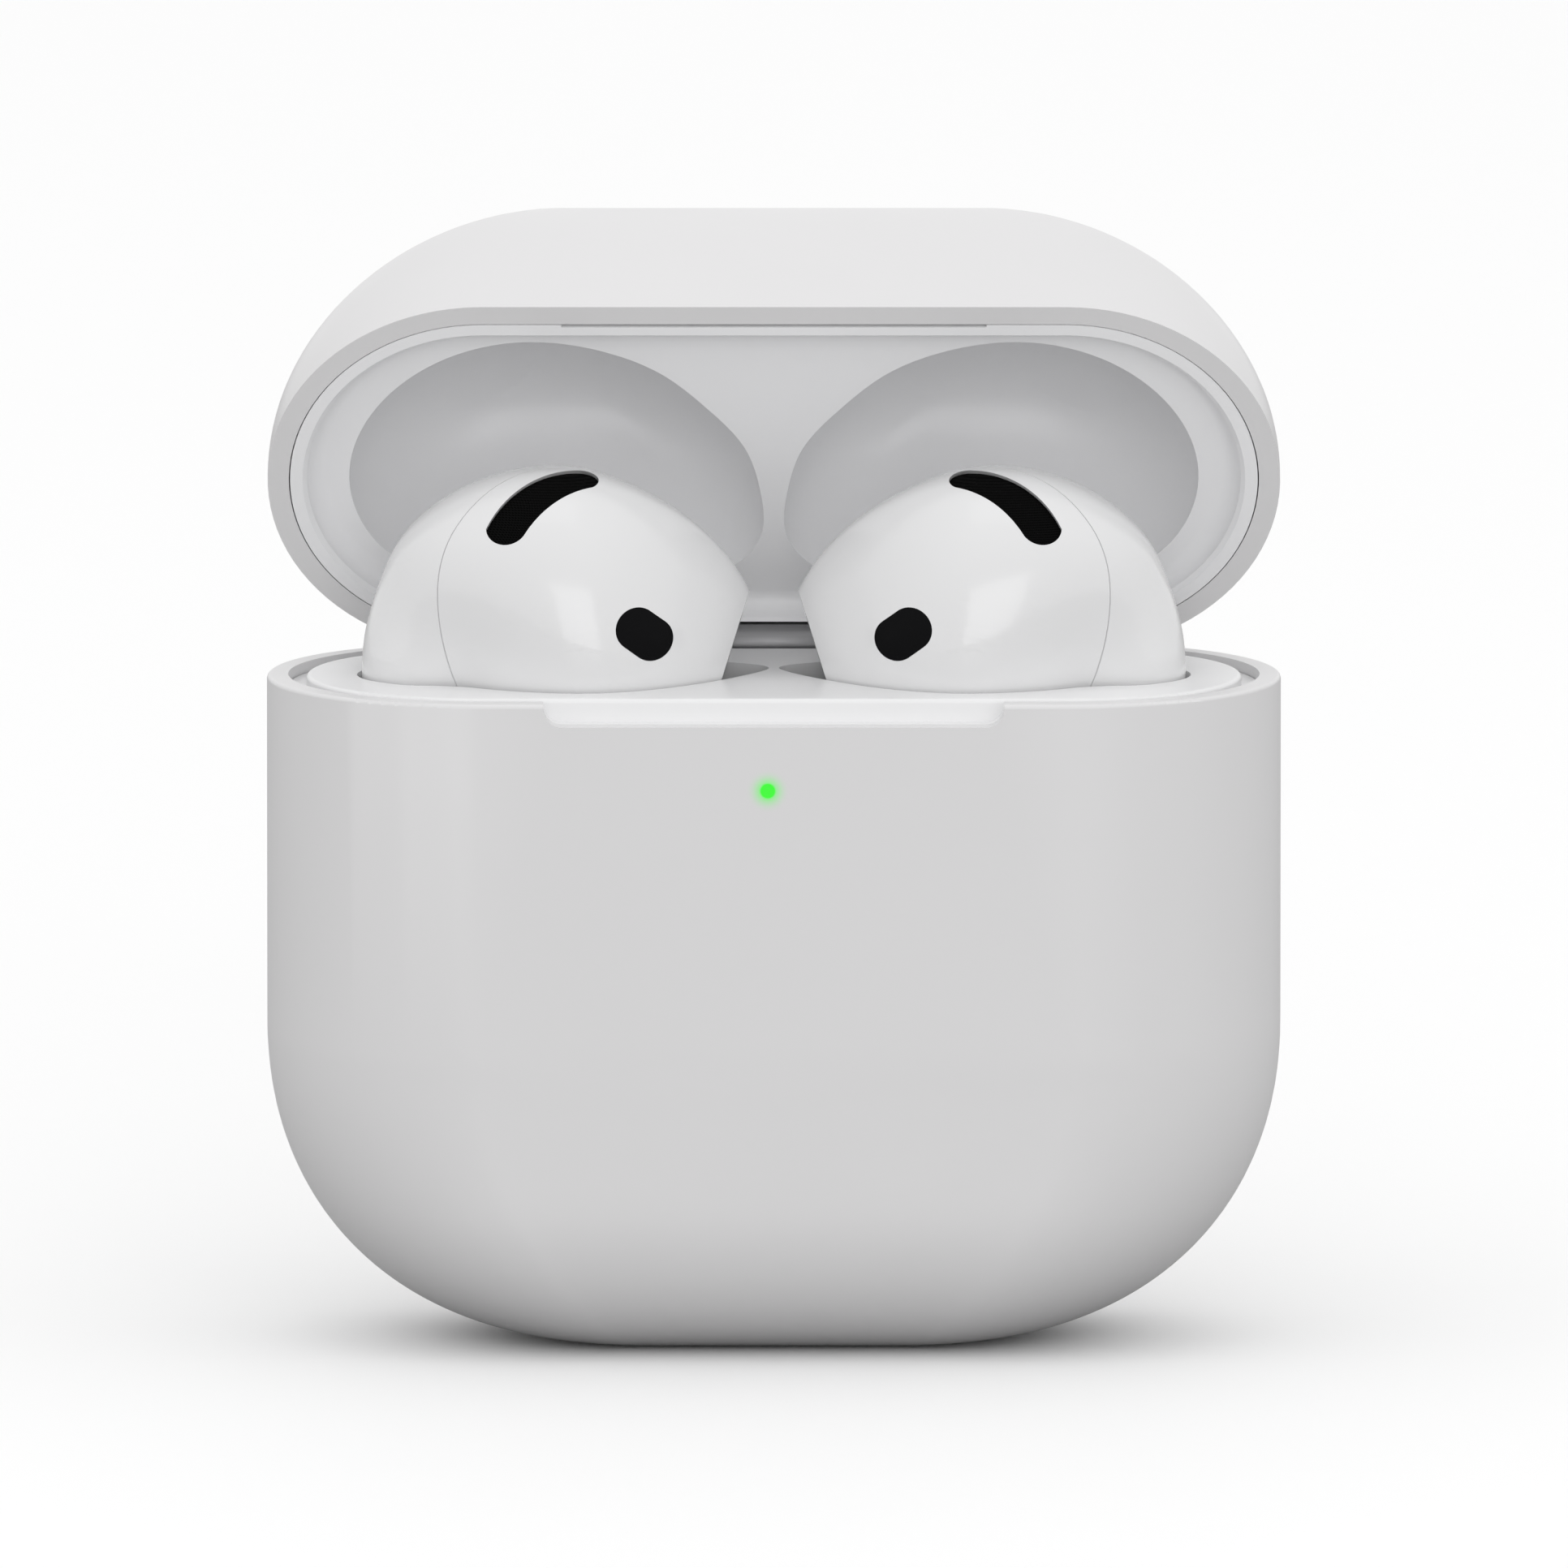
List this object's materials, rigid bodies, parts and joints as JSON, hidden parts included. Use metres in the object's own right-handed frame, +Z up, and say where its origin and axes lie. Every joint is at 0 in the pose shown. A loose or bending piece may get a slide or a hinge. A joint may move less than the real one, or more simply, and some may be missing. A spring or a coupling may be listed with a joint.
{
  "type": "wireless earbuds charging case",
  "caption": "Pocket charging case with a hinged lid, standing open, with two removable stem earbuds seated in its tray.",
  "frame": {"origin": "centre of the flat foot under the case", "axes": "+X to the viewer's right, +Y to the back where the hinge is, +Z up"},
  "size_m": [0.05, 0.0299, 0.0549],
  "materials": {
    "case_white": "satin",
    "tray_white": "satin",
    "liner_white": "satin",
    "bud_white": "polished",
    "frame_grey": "moulded",
    "cell_silver": "foil pouch",
    "lead_red": "insulated wire",
    "board_green": "solder mask",
    "chip_black": "moulded package",
    "screw_steel": "machined",
    "socket_steel": "drawn",
    "tongue_black": "moulded",
    "light_green": "diffusing",
    "led_yellow": "encapsulated",
    "flex_amber": "polyimide film",
    "magnet_nickel": "plated",
    "hinge_steel": "satin",
    "pin_gold": "gold plated",
    "mesh_black": "woven mesh",
    "window_black": "polished",
    "mesh_grey": "woven mesh",
    "driver_grey": "stamped",
    "coin_steel": "stamped can"
  },
  "bodies": {
    "base": {"base_shell": "case_white", "bud_tray": "tray_white", "inner_frame": "frame_grey", "battery": "cell_silver", "battery_board": "board_green", "battery_leads": "lead_red", "main_board": "board_green", "board_chips": "chip_black", "board_screws": "screw_steel", "usb_c_shell": "socket_steel", "usb_c_tongue": "tongue_black", "status_light_window": "light_green", "status_led": "led_yellow", "front_touch_flex": "flex_amber", "front_flex_tail": "flex_amber", "base_magnet": "magnet_nickel", "bud_hold_magnets": "magnet_nickel", "hinge_base_bracket": "hinge_steel", "hinge_base_screws": "screw_steel", "hinge_pin": "hinge_steel", "hinge_washers": "screw_steel", "left_charge_pins": "pin_gold", "left_contact_board": "board_green", "left_contact_flex": "flex_amber", "right_charge_pins": "pin_gold", "right_contact_board": "board_green", "right_contact_flex": "flex_amber"},
    "lid": {"lid_shell": "case_white", "lid_liner": "liner_white", "lid_magnet": "magnet_nickel", "hinge_lid_bracket": "hinge_steel", "hinge_lid_screws": "screw_steel"},
    "left_earbud": {"left_bud_front_shell": "bud_white", "left_bud_rear_shell": "bud_white", "left_bud_vent_mesh": "mesh_black", "left_bud_sensor_window": "window_black", "left_bud_sensor": "chip_black", "left_bud_nozzle_mesh": "mesh_grey", "left_bud_driver": "driver_grey", "left_bud_battery": "coin_steel", "left_bud_board": "board_green", "left_bud_chips": "chip_black", "left_bud_contacts": "pin_gold", "left_bud_stem_flex": "flex_amber", "left_bud_microphone": "chip_black"},
    "right_earbud": {"right_bud_front_shell": "bud_white", "right_bud_rear_shell": "bud_white", "right_bud_vent_mesh": "mesh_black", "right_bud_sensor_window": "window_black", "right_bud_sensor": "chip_black", "right_bud_nozzle_mesh": "mesh_grey", "right_bud_driver": "driver_grey", "right_bud_battery": "coin_steel", "right_bud_board": "board_green", "right_bud_chips": "chip_black", "right_bud_contacts": "pin_gold", "right_bud_stem_flex": "flex_amber", "right_bud_microphone": "chip_black"}
  },
  "joints": [
    {"name": "lid_hinge", "type": "hinge", "parent": "base", "child": "lid", "pos_m": [0, 0.01, 0.0331], "axis": [-1, 0, 0], "range_deg": [-61.7, 43.3]},
    {"name": "left_earbud_lift", "type": "slide", "parent": "base", "child": "left_earbud", "axis": [0, -0.4067, 0.9135], "range_m": [0, 0.036]},
    {"name": "right_earbud_lift", "type": "slide", "parent": "base", "child": "right_earbud", "axis": [0, -0.4067, 0.9135], "range_m": [0, 0.036]}
  ]
}
